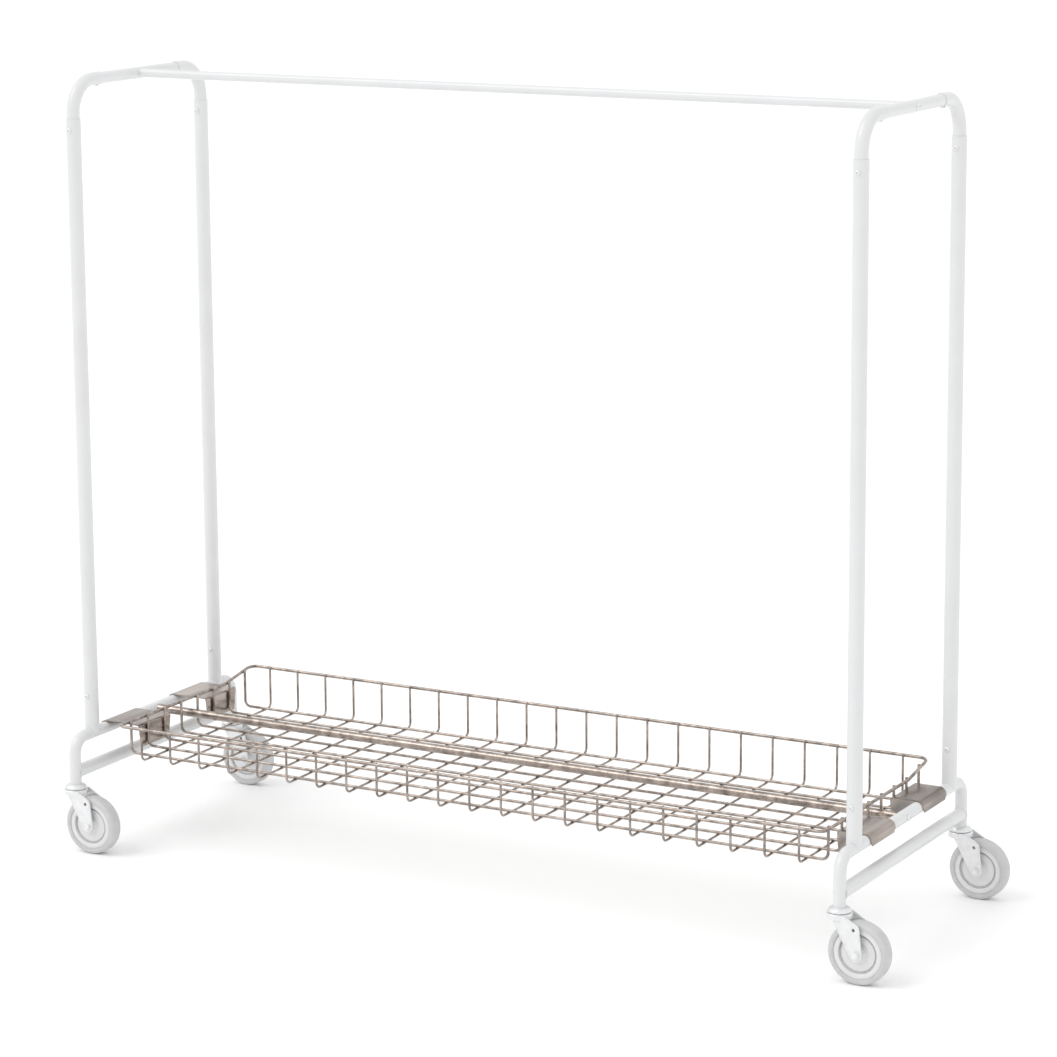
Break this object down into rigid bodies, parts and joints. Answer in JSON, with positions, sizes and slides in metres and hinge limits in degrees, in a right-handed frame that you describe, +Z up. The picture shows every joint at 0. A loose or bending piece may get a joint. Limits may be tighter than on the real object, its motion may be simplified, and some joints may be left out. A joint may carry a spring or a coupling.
{
  "type": "rolling garment rack with wire basket",
  "caption": "Rolling tube rack with a hanging bar, a long wire basket hooked between its end frames, and swivel casters.",
  "frame": {"origin": "middle of the bounding box at floor level, with the casters trailing towards +X", "axes": "+X along the rack from left to right, +Y from front to back, +Z up"},
  "size_m": [1.9606, 0.6656, 1.6932],
  "materials": {
    "frame_tube": "pale grey satin powder coat on steel tube",
    "basket_wire": "dark nickel-chrome plate, on the welded wires and the bottom bar",
    "hook_plate": "bent sheet, dark nickel plate, lightly worn",
    "caster_steel": "pale zinc-plated pressed steel",
    "zinc_steel": "zinc plated",
    "fastener": "zinc-plated screws and bolts",
    "bearing_steel": "polished balls",
    "tyre": "light grey non-marking rubber",
    "wheel_core": "pale grey moulded plastic",
    "grey_plastic": "moulded plastic"
  },
  "bodies": {
    "frame": {"base_frame_left": "frame_tube", "lower_crossbar_left": "frame_tube", "top_crossbar_left": "frame_tube", "base_frame_right": "frame_tube", "lower_crossbar_right": "frame_tube", "top_crossbar_right": "frame_tube", "upright_left_front": "frame_tube", "elbow_left_front": "frame_tube", "caster_stem_left_front": "caster_steel", "upright_left_rear": "frame_tube", "elbow_left_rear": "frame_tube", "caster_stem_left_rear": "caster_steel", "upright_right_front": "frame_tube", "elbow_right_front": "frame_tube", "caster_stem_right_front": "caster_steel", "upright_right_rear": "frame_tube", "elbow_right_rear": "frame_tube", "caster_stem_right_rear": "caster_steel", "hanging_bar": "frame_tube", "bottom_bar": "basket_wire", "upright_spigots": "zinc_steel", "upright_base_screws": "fastener", "elbow_screws": "fastener", "top_crossbar_screws": "fastener", "bar_end_plugs": "zinc_steel", "bar_bolts": "fastener", "stem_sockets": "grey_plastic", "caster_balls": "bearing_steel"},
    "basket": {"basket_rim": "basket_wire", "basket_ribs": "basket_wire", "basket_long_wires": "basket_wire", "basket_hook_left_front": "hook_plate", "basket_hook_left_rear": "hook_plate", "basket_hook_right_front": "hook_plate", "basket_hook_right_rear": "hook_plate"},
    "caster_left_front": {"caster_fork_left_front": "caster_steel", "caster_axle_left_front": "fastener", "caster_bush_left_front": "zinc_steel"},
    "wheel_left_front": {"wheel_core_left_front": "wheel_core", "wheel_tyre_left_front": "tyre"},
    "caster_left_rear": {"caster_fork_left_rear": "caster_steel", "caster_axle_left_rear": "fastener", "caster_bush_left_rear": "zinc_steel"},
    "wheel_left_rear": {"wheel_core_left_rear": "wheel_core", "wheel_tyre_left_rear": "tyre"},
    "caster_right_front": {"caster_fork_right_front": "caster_steel", "caster_axle_right_front": "fastener", "caster_bush_right_front": "zinc_steel"},
    "wheel_right_front": {"wheel_core_right_front": "wheel_core", "wheel_tyre_right_front": "tyre"},
    "caster_right_rear": {"caster_fork_right_rear": "caster_steel", "caster_axle_right_rear": "fastener", "caster_bush_right_rear": "zinc_steel"},
    "wheel_right_rear": {"wheel_core_right_rear": "wheel_core", "wheel_tyre_right_rear": "tyre"}
  },
  "joints": [
    {"name": "basket_lift", "type": "slide", "parent": "frame", "child": "basket", "axis": [0, 0, 1], "range_m": [0, 0.03]},
    {"name": "swivel_left_front", "type": "hinge", "parent": "frame", "child": "caster_left_front", "pos_m": [-0.95675, -0.305, 0.1415], "axis": [0, 0, 1], "continuous": true},
    {"name": "spin_left_front", "type": "hinge", "parent": "caster_left_front", "child": "wheel_left_front", "pos_m": [-0.91225, -0.305, 0.0635], "axis": [0, 1, 0], "continuous": true},
    {"name": "swivel_left_rear", "type": "hinge", "parent": "frame", "child": "caster_left_rear", "pos_m": [-0.95675, 0.305, 0.1415], "axis": [0, 0, 1], "continuous": true},
    {"name": "spin_left_rear", "type": "hinge", "parent": "caster_left_rear", "child": "wheel_left_rear", "pos_m": [-0.91225, 0.305, 0.0635], "axis": [0, 1, 0], "continuous": true},
    {"name": "swivel_right_front", "type": "hinge", "parent": "frame", "child": "caster_right_front", "pos_m": [0.87225, -0.305, 0.1415], "axis": [0, 0, 1], "continuous": true},
    {"name": "spin_right_front", "type": "hinge", "parent": "caster_right_front", "child": "wheel_right_front", "pos_m": [0.91675, -0.305, 0.0635], "axis": [0, 1, 0], "continuous": true},
    {"name": "swivel_right_rear", "type": "hinge", "parent": "frame", "child": "caster_right_rear", "pos_m": [0.87225, 0.305, 0.1415], "axis": [0, 0, 1], "continuous": true},
    {"name": "spin_right_rear", "type": "hinge", "parent": "caster_right_rear", "child": "wheel_right_rear", "pos_m": [0.91675, 0.305, 0.0635], "axis": [0, 1, 0], "continuous": true}
  ]
}
